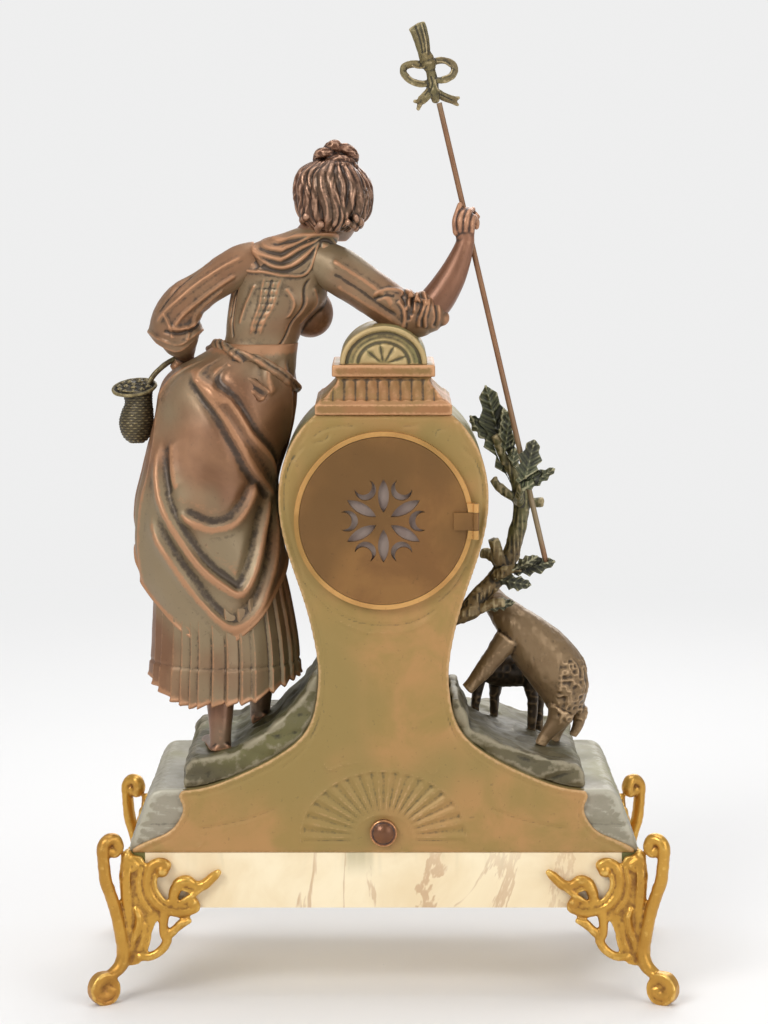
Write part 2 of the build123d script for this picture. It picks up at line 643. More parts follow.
def staff_pieces():
    """Rod, and the finial cast with its spud and its ribbon bow."""
    low, high = staff_ends()
    along = (high - low).normalized()
    stations = []
    for rise, radius in zip(SPUD_RISE_SHARES, SPUD_RADIUS_SHARES):
        point = high + along * (rise * FIGURE_HEIGHT)
        stations.append((*point, radius * FIGURE_HEIGHT))
    spud = limb(stations)
    knot_at = high + along * (BOW_TUBE + KNOT_RADIUS)
    bow = ellipsoid(*knot_at, KNOT_RADIUS, KNOT_RADIUS, KNOT_RADIUS)
    for side in (-1, 1):
        for shares in (BOW_LOOP_SHARES, BOW_TAIL_SHARES):
            path = [
                (knot_at.X + side * u * FIGURE_HEIGHT, knot_at.Y, knot_at.Z + v * FIGURE_HEIGHT, BOW_TUBE)
                for u, v in shares
            ]
            bow += limb(path)
    finial = group([spud - staff_line(STAFF_RADIUS), bow - spud - staff_line(STAFF_RADIUS)])
    return {"staff_rod": staff_line(STAFF_RADIUS), "staff_finial": finial}


# oak: branches from the case's side and lobed leaves on them
OAK_HEIGHT = 140.0
OAK_X_SHARE = 0.268
OAK_Z_SHARE = 0.470
OAK_BACK = 38.0
OAK_X = OAK_X_SHARE * HALF_CASE
OAK_Y = BACK_Y + OAK_BACK
OAK_Z = CASE_Z + OAK_Z_SHARE * CASE_HEIGHT
TRUNK_SHARES = (
    (0.000, 0.000, 0.090, 0.044), (0.116, 0.010, 0.166, 0.038), (0.198, 0.040, 0.254, 0.036),
    (0.269, 0.070, 0.391, 0.034), (0.296, 0.090, 0.504, 0.034), (0.300, 0.100, 0.599, 0.034),
    (0.262, 0.100, 0.690, 0.026), (0.215, 0.100, 0.770, 0.022), (0.190, 0.100, 0.840, 0.015),
)
BRANCHES_SHARES = (
    ((0.060, 0.000, 0.110, 0.026), (0.134, -0.020, 0.134, 0.022), (0.176, -0.030, 0.151, 0.020),
     (0.224, -0.030, 0.155, 0.016)),
    ((0.190, 0.030, 0.250, 0.026), (0.225, -0.030, 0.285, 0.022), (0.290, -0.050, 0.305, 0.018)),
    ((0.223, 0.030, 0.290, 0.028), (0.196, 0.000, 0.354, 0.026), (0.178, -0.010, 0.420, 0.025)),
    ((0.200, 0.060, 0.310, 0.022), (0.165, 0.080, 0.342, 0.020), (0.133, 0.090, 0.345, 0.018)),
    ((0.285, 0.095, 0.570, 0.020), (0.235, 0.095, 0.601, 0.017), (0.201, 0.095, 0.629, 0.017),
     (0.181, 0.095, 0.661, 0.018)),
    ((0.300, 0.095, 0.556, 0.024), (0.340, 0.100, 0.557, 0.022), (0.391, 0.100, 0.560, 0.020)),
    ((0.290, 0.080, 0.560, 0.020), (0.286, 0.000, 0.600, 0.019), (0.294, -0.080, 0.650, 0.016)),
)
LEAF_THICK = 2.6
LEAF_OUTLINE_SHARES = (
    (0.00, 0.10), (0.12, 0.26), (0.20, 0.72), (0.30, 0.45), (0.42, 1.00), (0.54, 0.58),
    (0.66, 0.95), (0.78, 0.52), (0.90, 0.52), (1.00, 0.00),
)
LEAF_PLACES_SHARES = (
    (0.262, 0.100, 0.640, 105.6, 0.427, 0.075), (0.190, 0.110, 0.800, 130.8, 0.165, 0.035),
    (0.225, 0.085, 0.760, 82.7, 0.197, 0.032), (0.250, 0.085, 0.680, 79.0, 0.117, 0.032),
    (0.294, -0.080, 0.625, 76.7, 0.222, 0.055), (0.294, -0.095, 0.635, 33.5, 0.163, 0.030),
    (0.235, -0.050, 0.285, 14.1, 0.205, 0.042), (0.255, -0.065, 0.295, 32.0, 0.121, 0.026),
    (0.185, -0.010, 0.255, -11.1, 0.156, 0.036), (0.124, -0.020, 0.129, 8.2, 0.148, 0.030),
)


def oak_point(x, y, z):
    return (OAK_X + x * OAK_HEIGHT, OAK_Y + y * OAK_HEIGHT, OAK_Z + z * OAK_HEIGHT)


def oak_limb(shares):
    return limb([(*oak_point(x, y, z), radius * OAK_HEIGHT) for x, y, z, radius in shares])


def oak_branches():
    tree = oak_limb(TRUNK_SHARES)
    for shares in BRANCHES_SHARES:
        tree += oak_limb(shares)
    return tree - case_solid() - rock(ROCK_RIGHT_SHARES) - staff_line(STAFF_RADIUS)


def leaf_outline(length, half_width):
    upper = [(u * length, v * half_width) for u, v in LEAF_OUTLINE_SHARES]
    lower = [(x, -y) for x, y in reversed(upper[:-1])]
    return make_face(Polyline(*upper, *lower, close=True))


def oak_leaves(tree):
    """Upright lobed leaves, each starting inside a branch and cut to it."""
    leaves = []
    for x, y, z, turn, long_share, wide_share in LEAF_PLACES_SHARES:
        place = oak_point(x, y, z)
        outline = Rot(0, 0, turn) * leaf_outline(long_share * OAK_HEIGHT, wide_share * OAK_HEIGHT)
        placed = Pos(place[0], place[2]) * outline
        leaf = prism(placed, place[1] - LEAF_THICK / 2, place[1] + LEAF_THICK / 2)
        leaf = leaf - tree - case_solid() - case_cornice() - staff_line(STAFF_RADIUS)
        for other in leaves:
            leaf = leaf - other
        leaves.append(max(leaf.solids(), key=lambda solid: solid.volume))
    return group(leaves)


# ewe and lamb on the right-hand rock
EWE_SIZE = 90.0
EWE_X_SHARE = 0.564
EWE_Z_SHARE = 0.211
EWE_BACK = 54.0
EWE_BODY_SHARES = (
    (0.330, 0.000, 0.200, 0.090), (0.290, 0.000, 0.320, 0.150), (0.242, 0.000, 0.455, 0.185),
    (0.135, 0.000, 0.595, 0.185), (0.035, 0.000, 0.710, 0.158), (-0.062, 0.011, 0.812, 0.125),
    (-0.150, 0.078, 0.895, 0.090), (-0.200, 0.178, 0.956, 0.072), (-0.222, 0.278, 0.967, 0.050),
)
EWE_LEG_SHARES = (
    ((-0.100, -0.067, 0.711, 0.083), (-0.200, -0.089, 0.578, 0.067), (-0.289, -0.106, 0.467, 0.051),
     (-0.367, -0.111, 0.380, 0.044)),
    ((0.256, -0.067, 0.233, 0.100), (0.200, -0.089, 0.122, 0.061), (0.144, -0.100, 0.056, 0.042),
     (0.111, -0.111, -0.050, 0.040)),
    ((0.300, 0.080, 0.240, 0.090), (0.270, 0.100, 0.122, 0.056), (0.240, 0.100, 0.056, 0.042),
     (0.210, 0.100, -0.050, 0.040)),
)
EWE_TAIL_SHARES = (
    (0.385, 0.000, 0.240, 0.048), (0.375, 0.000, 0.130, 0.042), (0.335, 0.000, 0.044, 0.029),
)
LAMB_BODY_SHARES = (
    (-0.250, 0.333, 0.430, 0.080), (-0.180, 0.333, 0.440, 0.115), (-0.070, 0.333, 0.440, 0.125),
    (0.050, 0.333, 0.440, 0.115), (0.130, 0.333, 0.450, 0.080),
)
LAMB_HEAD_SHARES = (
    (0.110, 0.333, 0.460, 0.070), (0.170, 0.333, 0.540, 0.062), (0.240, 0.333, 0.560, 0.052),
    (0.310, 0.333, 0.520, 0.034),
)
LAMB_LEGS_SHARES = (
    ((-0.262, 0.290, 0.420, 0.050), (-0.290, 0.290, 0.270, 0.034), (-0.300, 0.290, 0.120, 0.027)),
    ((-0.150, 0.380, 0.380, 0.055), (-0.166, 0.380, 0.220, 0.034), (-0.164, 0.380, -0.020, 0.027)),
    ((0.060, 0.290, 0.400, 0.060), (0.085, 0.290, 0.220, 0.036), (0.070, 0.290, -0.020, 0.028)),
    ((0.110, 0.380, 0.400, 0.060), (0.135, 0.380, 0.220, 0.036), (0.125, 0.380, -0.020, 0.028)),
)


def ewe_point(x, y, z):
    base_x = EWE_X_SHARE * HALF_CASE
    base_z = CASE_Z + EWE_Z_SHARE * CASE_HEIGHT
    return (base_x + x * EWE_SIZE, BACK_Y + EWE_BACK + y * EWE_SIZE, base_z + z * EWE_SIZE)


def ewe_limb(shares):
    return limb([(*ewe_point(x, y, z), radius * EWE_SIZE) for x, y, z, radius in shares])


def animal_pieces(tree):
    stone = rock(ROCK_RIGHT_SHARES)
    case = case_solid()
    body = ewe_limb(EWE_BODY_SHARES) + ewe_limb(EWE_TAIL_SHARES)
    for shares in EWE_LEG_SHARES:
        body += ewe_limb(shares)
    body = body - stone - case - tree
    lamb = ewe_limb(LAMB_BODY_SHARES) + ewe_limb(LAMB_HEAD_SHARES)
    for shares in LAMB_LEGS_SHARES:
        lamb += ewe_limb(shares)
    lamb = lamb - stone - case - tree - body
    lamb = max(lamb.solids(), key=lambda solid: solid.volume)
    return {"ewe": body, "lamb": lamb}


# rear bezel and pierced rear door
DOOR_THICK = 3.0
RIM_RADIUS = 51.0
RIM_HIGH = 5.0
BEZEL_FLANGE = 2.0
SPIGOT_LONG = 6.0
SPIGOT_INNER = 43.0
KNUCKLE_RADIUS = 1.8
KNUCKLE_LONG = 10.0
KNUCKLE_SPACE = 0.2
HINGE_PIN_RADIUS = 0.8
LUG_THICK = 2.0
LUG_LONG = 12.5
REAR_HINGE_OUT = 1.5
REAR_HINGE_BACK = 1.9
REAR_HINGE_X = RIM_RADIUS + REAR_HINGE_OUT
REAR_LUG_Y = BACK_Y - RIM_HIGH - RUN_GAP
REAR_HINGE_Y = REAR_LUG_Y - REAR_HINGE_BACK
PETAL_TURNS = (30, 90, 150, 210, 270, 330)
CRESCENT_TURNS = (0, 60, 120, 180, 240, 300)
PETAL_INNER = 4.8
PETAL_OUTER = 23.8
PETAL_WIDE = 6.2
CRESCENT_PLACE = 20.5
CRESCENT_RADIUS = 6.0
CRESCENT_BITE = 5.0
CRESCENT_SHIFT = 2.6
BACKING_RADIUS = 30.0
BACKING_THICK = 0.8


def rear_bezel():
    rim = prism(ring(0, MOVEMENT_Z, RIM_RADIUS, DOOR_RADIUS + RUN_GAP), BACK_Y - RIM_HIGH, BACK_Y)
    flange = prism(ring(0, MOVEMENT_Z, RIM_RADIUS, SPIGOT_INNER), BACK_Y - BEZEL_FLANGE, BACK_Y)
    spigot_outer = DOOR_RADIUS - PANEL_HOLE_GAP - RUN_GAP
    spigot = prism(ring(0, MOVEMENT_Z, spigot_outer, SPIGOT_INNER), BACK_Y, BACK_Y + SPIGOT_LONG)
    solid = rim + flange + spigot
    for side in (-1, 1):
        inner = side * (KNUCKLE_LONG / 2 + KNUCKLE_SPACE)
        z_range = sorted((MOVEMENT_Z + inner, MOVEMENT_Z + inner + side * KNUCKLE_LONG / 2))
        knuckle = post(REAR_HINGE_X, REAR_HINGE_Y, KNUCKLE_RADIUS, *z_range)
        web = block(
            (RIM_RADIUS - 2 * KNUCKLE_RADIUS, REAR_HINGE_X),
            (REAR_HINGE_Y, BACK_Y - BEZEL_FLANGE),
            z_range,
        )
        web -= prism(disc(0, MOVEMENT_Z, DOOR_RADIUS + RUN_GAP), REAR_HINGE_Y - OVERRUN, BACK_Y)
        bore = post(REAR_HINGE_X, REAR_HINGE_Y, HINGE_PIN_RADIUS + PIN_GAP, *z_range)
        solid = solid + web + knuckle - bore
    return solid


def rosette():
    """Six pointed petals and six crescents, cut through the door."""
    shape = Sketch()
    mid = (PETAL_INNER + PETAL_OUTER) / 2
    for turn in PETAL_TURNS:
        edge = ThreePointArc((PETAL_INNER, 0), (mid, PETAL_WIDE / 2), (PETAL_OUTER, 0))
        back = ThreePointArc((PETAL_OUTER, 0), (mid, -PETAL_WIDE / 2), (PETAL_INNER, 0))
        shape += Rot(0, 0, turn) * make_face([edge, back])
    for turn in CRESCENT_TURNS:
        moon = Pos(CRESCENT_PLACE, 0) * Circle(CRESCENT_RADIUS)
        bite = Pos(CRESCENT_PLACE + CRESCENT_SHIFT, 0) * Circle(CRESCENT_BITE)
        shape += Rot(0, 0, turn) * (moon - bite)
    return Pos(0, MOVEMENT_Z) * shape


def rear_door():
    inner_y = BACK_Y - BEZEL_FLANGE - RUN_GAP
    outer_y = REAR_LUG_Y
    plate = prism(disc(0, MOVEMENT_Z, DOOR_RADIUS), outer_y, inner_y)
    plate -= prism(rosette(), outer_y - OVERRUN, inner_y + OVERRUN)
    z_range = (MOVEMENT_Z - KNUCKLE_LONG / 2, MOVEMENT_Z + KNUCKLE_LONG / 2)
    lug_depth = (REAR_LUG_Y - LUG_THICK, REAR_LUG_Y)
    lug = block((REAR_HINGE_X - LUG_LONG, REAR_HINGE_X), lug_depth, z_range)
    knuckle = post(REAR_HINGE_X, REAR_HINGE_Y, KNUCKLE_RADIUS, *z_range)
    bore = post(REAR_HINGE_X, REAR_HINGE_Y, HINGE_PIN_RADIUS + PIN_GAP, *z_range)
    return plate + lug + knuckle - bore


def door_backing():
    inner_y = BACK_Y - BEZEL_FLANGE - RUN_GAP
    return prism(disc(0, MOVEMENT_Z, BACKING_RADIUS), inner_y, inner_y + BACKING_THICK)


# front seat ring, hinged bezel with its glass, and dial
SEAT_OUTER = 53.0
SEAT_THICK = 2.0
SEAT_INNER_GAP = 0.5
BEZEL_OUTER = 51.0
BEZEL_HIGH = 6.7
BEZEL_INNER_GAP = 1.0
GLASS_GAP = 3.0
GLASS_THICK = 1.5
GLASS_SEAT = 4.2
FRONT_HINGE_OUT = 2.6
FRONT_HINGE_RISE = 2.4
DIAL_THICK = 1.2
DIAL_BACK = 2.0
DIAL_FOOT_RADIUS = 1.2
DIAL_FOOT_PLACE = 33.0
DIAL_FEET_TURNS = (45, 135, 270)
SEAT_Y = BODY_FRONT_Y + SEAT_THICK
BEZEL_Y = SEAT_Y + RUN_GAP
FRONT_HINGE_X = -BEZEL_OUTER - FRONT_HINGE_OUT
FRONT_HINGE_Y = SEAT_Y + FRONT_HINGE_RISE
DIAL_Y = BODY_FRONT_Y - DIAL_BACK


def front_seat_ring():
    solid = prism(ring(0, MOVEMENT_Z, SEAT_OUTER, DIAL_RADIUS + SEAT_INNER_GAP), BODY_FRONT_Y, SEAT_Y)
    for side in (-1, 1):
        inner = side * (KNUCKLE_LONG / 2 + KNUCKLE_SPACE)
        z_range = sorted((MOVEMENT_Z + inner, MOVEMENT_Z + inner + side * KNUCKLE_LONG / 2))
        knuckle = post(FRONT_HINGE_X, FRONT_HINGE_Y, KNUCKLE_RADIUS, *z_range)
        web = block(
            (FRONT_HINGE_X - KNUCKLE_RADIUS, FRONT_HINGE_X + KNUCKLE_RADIUS),
            (BODY_FRONT_Y, FRONT_HINGE_Y),
            z_range,
        )
        bore = post(FRONT_HINGE_X, FRONT_HINGE_Y, HINGE_PIN_RADIUS + PIN_GAP, *z_range)
        solid = solid + web + knuckle - bore
    return solid


def front_bezel():
    inner = DIAL_RADIUS + BEZEL_INNER_GAP
    solid = prism(ring(0, MOVEMENT_Z, BEZEL_OUTER, inner), BEZEL_Y, BEZEL_Y + BEZEL_HIGH)
    z_range = (MOVEMENT_Z - KNUCKLE_LONG / 2, MOVEMENT_Z + KNUCKLE_LONG / 2)
    knuckle = post(FRONT_HINGE_X, FRONT_HINGE_Y, KNUCKLE_RADIUS, *z_range)
    lug_depth = (FRONT_HINGE_Y - KNUCKLE_RADIUS, FRONT_HINGE_Y + KNUCKLE_RADIUS)
    lug = block((FRONT_HINGE_X, FRONT_HINGE_X + 2 * FRONT_HINGE_OUT), lug_depth, z_range)
    bore = post(FRONT_HINGE_X, FRONT_HINGE_Y, HINGE_PIN_RADIUS + PIN_GAP, *z_range)
    return solid + lug + knuckle - bore - front_glass()


def front_glass():
    glass_radius = DIAL_RADIUS + BEZEL_INNER_GAP + GLASS_GAP
    inner_y = BEZEL_Y + GLASS_SEAT
    return prism(disc(0, MOVEMENT_Z, glass_radius), inner_y, inner_y + GLASS_THICK)


def hinge_pins():
    half = KNUCKLE_LONG + KNUCKLE_SPACE
    z_range = (MOVEMENT_Z - half, MOVEMENT_Z + half)
    return group([
        post(REAR_HINGE_X, REAR_HINGE_Y, HINGE_PIN_RADIUS, *z_range),
        post(FRONT_HINGE_X, FRONT_HINGE_Y, HINGE_PIN_RADIUS, *z_range),
    ])


def dial():
    plate = prism(disc(0, MOVEMENT_Z, DIAL_RADIUS), DIAL_Y, DIAL_Y + DIAL_THICK)
    plate -= arbor((0, 0), PIPE_RADIUS + RUN_GAP, DIAL_Y - OVERRUN, DIAL_Y + 2 * DIAL_THICK)
    for place in barrel_places():
        plate -= arbor(place, WINDING_HOLE, DIAL_Y - OVERRUN, DIAL_Y + 2 * DIAL_THICK)
    for turn in DIAL_FEET_TURNS:
        foot_place = polar((0, 0), DIAL_FOOT_PLACE, turn)
        plate += arbor(foot_place, DIAL_FOOT_RADIUS, FRONT_PLATE_Y + PLATE_THICK, DIAL_Y)
    return plate


# movement: levels from the dial backward
DIAL_SPACE = 6.0
GREAT_DROP = 8.0
CENTRE_DROP = 4.0
THIRD_RISE = 2.5
MINUTE_GAP = 0.4
WHEEL_GAP = 0.1
STRIKE_STEP = 0.3
HOUR_HAND_RISE = 3.4
HAND_STEP = 2.2
FRONT_PLATE_Y = DIAL_Y - DIAL_SPACE
BACK_PLATE_Y = FRONT_PLATE_Y - PLATE_SPACE - PLATE_THICK
PILLAR_RADIUS = 2.2
PILLAR_PLACES_SHARES = ((0.70, 0.60), (-0.70, 0.60), (0.35, -0.83), (-0.35, -0.83))
STRAP_WIDE = 10.0
STRAP_THICK = 1.5
STRAP_RADIUS = 43.0
LUG_WIDE = 6.0
ARBOR_RADIUS = 1.2
THIN_ARBOR_RADIUS = 1.0
PIPE_RADIUS = 2.1
WINDING_HOLE = 3.2
WINDING_RADIUS = 2.0
WHEEL_THICK = 1.5
BARREL_RADIUS = 16.5
BARREL_LONG = 14.0
BARREL_TEETH = 60
PINION_TEETH = 10
CENTRE_TEETH = 48
THIRD_PINION_TEETH = 8
CANNON_TEETH = 14
MINUTE_TEETH = 42
MINUTE_PINION_TEETH = 10
HOUR_TEETH = 40
ESCAPE_TEETH = 30
GREAT_MODULE = 0.6
CENTRE_MODULE = 0.5
THIRD_MODULE = 0.45
MINUTE_MODULE = 0.5
HOUR_MODULE = 0.56
ROOT_DEPTH_SHARE = 1.1
TIP_HEIGHT_SHARE = 0.85
ROOT_WIDTH_SHARE = 0.27
TIP_WIDTH_SHARE = 0.10
TIME_BARREL_TURN = 200.0
STRIKE_BARREL_TURN = -20.0
PIN_WHEEL_TURN = 100.0
THIRD_TURN = 130.0
ESCAPE_TURN = 60.0
MINUTE_TURN = 90.0
GREAT_DISTANCE = GREAT_MODULE * (BARREL_TEETH + PINION_TEETH) / 2
THIRD_DISTANCE = CENTRE_MODULE * (CENTRE_TEETH + THIRD_PINION_TEETH) / 2
ESCAPE_DISTANCE = THIRD_MODULE * (CENTRE_TEETH + THIRD_PINION_TEETH) / 2
MINUTE_DISTANCE = MINUTE_MODULE * (CANNON_TEETH + MINUTE_TEETH) / 2
GREAT_LEVEL = FRONT_PLATE_Y - GREAT_DROP
STRIKE_LEVEL = GREAT_LEVEL + WHEEL_THICK + STRIKE_STEP
CENTRE_LEVEL = FRONT_PLATE_Y - CENTRE_DROP
THIRD_LEVEL = BACK_PLATE_Y + PLATE_THICK + THIRD_RISE
ESCAPE_LEVEL = (FRONT_PLATE_Y + BACK_PLATE_Y) / 2
MINUTE_LEVEL = FRONT_PLATE_Y + PLATE_THICK + MINUTE_GAP
HOUR_LEVEL = MINUTE_LEVEL + WHEEL_THICK + WHEEL_GAP
HOUR_HAND_LEVEL = DIAL_Y + HOUR_HAND_RISE
MINUTE_HAND_LEVEL = HOUR_HAND_LEVEL + HAND_STEP
HAND_THICK = 0.8
ESCAPE_SHARE = 0.86
PIN_COUNT = 8
PIN_CIRCLE_SHARE = 0.80
PIN_RADIUS = 0.7
PIN_LONG = 1.5


def polar(place, distance, turn):
    return (place[0] + distance * cos(radians(turn)), place[1] + distance * sin(radians(turn)))


def barrel_places():
    return (
        polar((0, 0), GREAT_DISTANCE, TIME_BARREL_TURN),
        polar((0, 0), GREAT_DISTANCE, STRIKE_BARREL_TURN),
    )


def third_place():
    return polar((0, 0), THIRD_DISTANCE, THIRD_TURN)


def escape_place():
    return polar(third_place(), ESCAPE_DISTANCE, ESCAPE_TURN)


def pin_wheel_place():
    return polar(barrel_places()[1], GREAT_DISTANCE, PIN_WHEEL_TURN)


def toothed(place, teeth, module, turn, y_low, thick):
    """Spur wheel with narrow straight teeth, one of them pointing along turn."""
    pitch = teeth * module / 2
    root = pitch - ROOT_DEPTH_SHARE * module
    tip = pitch + TIP_HEIGHT_SHARE * module
    corners = (
        (-ROOT_WIDTH_SHARE, root), (-TIP_WIDTH_SHARE, tip),
        (TIP_WIDTH_SHARE, tip), (ROOT_WIDTH_SHARE, root),
    )
    points = []
    for index in range(teeth):
        for share, radius in corners:
            points.append(polar(place, radius, turn + 360 * (index + share) / teeth))
    outline = Pos(0, MOVEMENT_Z) * make_face(Polyline(*points, close=True))
    return prism(outline, y_low, y_low + thick)


def gap_turn(teeth, turn):
    """Turn of the meshing wheel whose gap faces back along turn."""
    return turn + 180 + 180 / teeth


def arbor(place, radius, y_low, y_high):
    return prism(disc(place[0], MOVEMENT_Z + place[1], radius), y_low, y_high)


def plate_arbors():
    """Places and radii of the arbors that both plates carry."""
    rows = [((0, 0), ARBOR_RADIUS)]
    rows += [(place, THIN_ARBOR_RADIUS) for place in (third_place(), escape_place(), pin_wheel_place())]
    rows += [(place, WINDING_RADIUS) for place in barrel_places()]
    rows += [((0, ANCHOR_RISE), THIN_ARBOR_RADIUS), (HAMMER_PLACE, THIN_ARBOR_RADIUS)]
    return rows


def movement_plate(y_low):
    solid = prism(disc(0, MOVEMENT_Z, PLATE_RADIUS), y_low, y_low + PLATE_THICK)
    z_range = (MOVEMENT_Z - LUG_WIDE / 2, MOVEMENT_Z + LUG_WIDE / 2)
    solid += block((-STRAP_RADIUS, STRAP_RADIUS), (y_low, y_low + PLATE_THICK), z_range)
    for place, radius in plate_arbors():
        solid -= arbor(place, radius + PIN_GAP, y_low - OVERRUN, y_low + PLATE_THICK + OVERRUN)
    return solid


def front_plate():
    """Front plate with the stud that carries the minute wheel."""
    stud = arbor(
        (0, MINUTE_DISTANCE), THIN_ARBOR_RADIUS, FRONT_PLATE_Y + PLATE_THICK, HOUR_LEVEL + WHEEL_THICK
    )
    return movement_plate(FRONT_PLATE_Y) + stud


def pillars():
    low = BACK_PLATE_Y + PLATE_THICK
    places = [(u * PLATE_RADIUS, v * PLATE_RADIUS) for u, v in PILLAR_PLACES_SHARES]
    return group(arbor(place, PILLAR_RADIUS, low, FRONT_PLATE_Y) for place in places)


def movement_straps():
    """Long straps that draw the front ring and the rear bezel together."""
    solids = []
    z_range = (MOVEMENT_Z - STRAP_WIDE / 2, MOVEMENT_Z + STRAP_WIDE / 2)
    for side in (-1, 1):
        x_range = sorted((side * STRAP_RADIUS, side * (STRAP_RADIUS + STRAP_THICK)))
        solids.append(block(x_range, (BACK_Y + SPIGOT_LONG, BODY_FRONT_Y), z_range))
    return group(solids)


def barrel(place, mesh_turn, level):
    """Spring barrel with its great wheel and winding square."""
    drum = arbor(place, BARREL_RADIUS, level - BARREL_LONG, level)
    wheel = toothed(place, BARREL_TEETH, GREAT_MODULE, mesh_turn, level, WHEEL_THICK)
    shaft = arbor(place, WINDING_RADIUS, BACK_PLATE_Y, DIAL_Y + DIAL_THICK)
    return drum + wheel + shaft


def centre_wheel():
    """Centre arbor with its pinion, great centre wheel and cannon pinion."""
    shaft = arbor((0, 0), ARBOR_RADIUS, BACK_PLATE_Y, MINUTE_HAND_LEVEL + 2 * HAND_THICK)
    mesh = gap_turn(PINION_TEETH, TIME_BARREL_TURN + 180)
    pinion = toothed((0, 0), PINION_TEETH, GREAT_MODULE, mesh, GREAT_LEVEL, WHEEL_THICK)
    wheel = toothed((0, 0), CENTRE_TEETH, CENTRE_MODULE, THIRD_TURN, CENTRE_LEVEL, WHEEL_THICK)
    cannon = toothed((0, 0), CANNON_TEETH, MINUTE_MODULE, MINUTE_TURN, MINUTE_LEVEL, WHEEL_THICK)
    return shaft + pinion + wheel + cannon


def third_wheel():
    place = third_place()
    shaft = arbor(place, THIN_ARBOR_RADIUS, BACK_PLATE_Y, FRONT_PLATE_Y + PLATE_THICK)
    mesh = gap_turn(THIRD_PINION_TEETH, THIRD_TURN)
    pinion = toothed(place, THIRD_PINION_TEETH, CENTRE_MODULE, mesh, CENTRE_LEVEL, WHEEL_THICK)
    wheel = toothed(place, CENTRE_TEETH, THIRD_MODULE, ESCAPE_TURN, THIRD_LEVEL, WHEEL_THICK)
    return shaft + pinion + wheel


def escape_wheel():
    place = escape_place()
    shaft = arbor(place, THIN_ARBOR_RADIUS, BACK_PLATE_Y, FRONT_PLATE_Y + PLATE_THICK)
    mesh = gap_turn(THIRD_PINION_TEETH, ESCAPE_TURN)
    pinion = toothed(place, THIRD_PINION_TEETH, THIRD_MODULE, mesh, THIRD_LEVEL, WHEEL_THICK)
    wheel = toothed(place, ESCAPE_TEETH, CENTRE_MODULE * ESCAPE_SHARE, 0, ESCAPE_LEVEL, WHEEL_THICK)
    return shaft + pinion + wheel


def pin_wheel():
    """Strike wheel whose pins lift the hammer."""
    place = pin_wheel_place()
    shaft = arbor(place, THIN_ARBOR_RADIUS, BACK_PLATE_Y, FRONT_PLATE_Y + PLATE_THICK)
    mesh = gap_turn(PINION_TEETH, PIN_WHEEL_TURN)
    pinion = toothed(place, PINION_TEETH, GREAT_MODULE, mesh, STRIKE_LEVEL, WHEEL_THICK)
    wheel = toothed(place, CENTRE_TEETH, CENTRE_MODULE, 0, THIRD_LEVEL, WHEEL_THICK)
    solid = shaft + pinion + wheel
    circle = PIN_CIRCLE_SHARE * CENTRE_TEETH * CENTRE_MODULE / 2
    pin_root = THIRD_LEVEL + WHEEL_THICK
    for index in range(PIN_COUNT):
        pin_place = polar(place, circle, 360 * index / PIN_COUNT)
        solid += arbor(pin_place, PIN_RADIUS, pin_root, pin_root + PIN_LONG)
    return solid


def minute_wheel():
    place = (0, MINUTE_DISTANCE)
    mesh = gap_turn(MINUTE_TEETH, MINUTE_TURN)
    hub_top = HOUR_LEVEL + WHEEL_THICK
    wheel = toothed(place, MINUTE_TEETH, MINUTE_MODULE, mesh, MINUTE_LEVEL, WHEEL_THICK)
    pinion = toothed(place, MINUTE_PINION_TEETH, HOUR_MODULE, MINUTE_TURN + 180, HOUR_LEVEL, WHEEL_THICK)
    hub = arbor(place, 2 * THIN_ARBOR_RADIUS, MINUTE_LEVEL, hub_top)
    bore = arbor(place, THIN_ARBOR_RADIUS + PIN_GAP, MINUTE_LEVEL - OVERRUN, hub_top + OVERRUN)
    return wheel + hub + pinion - bore


def hour_wheel():
    mesh = gap_turn(HOUR_TEETH, MINUTE_TURN + 180)
    pipe_top = HOUR_HAND_LEVEL + HAND_THICK
    wheel = toothed((0, 0), HOUR_TEETH, HOUR_MODULE, mesh, HOUR_LEVEL, WHEEL_THICK)
    pipe = arbor((0, 0), PIPE_RADIUS, HOUR_LEVEL, pipe_top)
    bore = arbor((0, 0), ARBOR_RADIUS + PIN_GAP, HOUR_LEVEL - OVERRUN, pipe_top + OVERRUN)
    return wheel + pipe - bore


# hands, at ten minutes past ten as the dial side reads them
MINUTE_HAND_LONG = 35.0
HOUR_HAND_LONG = 24.0
MINUTE_HAND_TURN = 60.0
HOUR_HAND_TURN = 305.0
HAND_BOSS = 3.4
HAND_SHARES = ((0.00, 0.022), (0.45, 0.030), (0.62, 0.085), (0.78, 0.030), (1.00, 0.006))


def hand(length, clock_turn, y_low, bore_radius):
    """Pointed hand with a leaf-shaped swelling, on a round boss."""
    right = [(v * length, u * length) for u, v in HAND_SHARES]
    left = [(-x, y) for x, y in reversed(right)]
    blade = make_face(Polyline(*right, *left, close=True))
    outline = Rot(0, 0, clock_turn) * blade + Circle(HAND_BOSS) - Circle(bore_radius)
    return prism(Pos(0, MOVEMENT_Z) * outline, y_low, y_low + HAND_THICK)


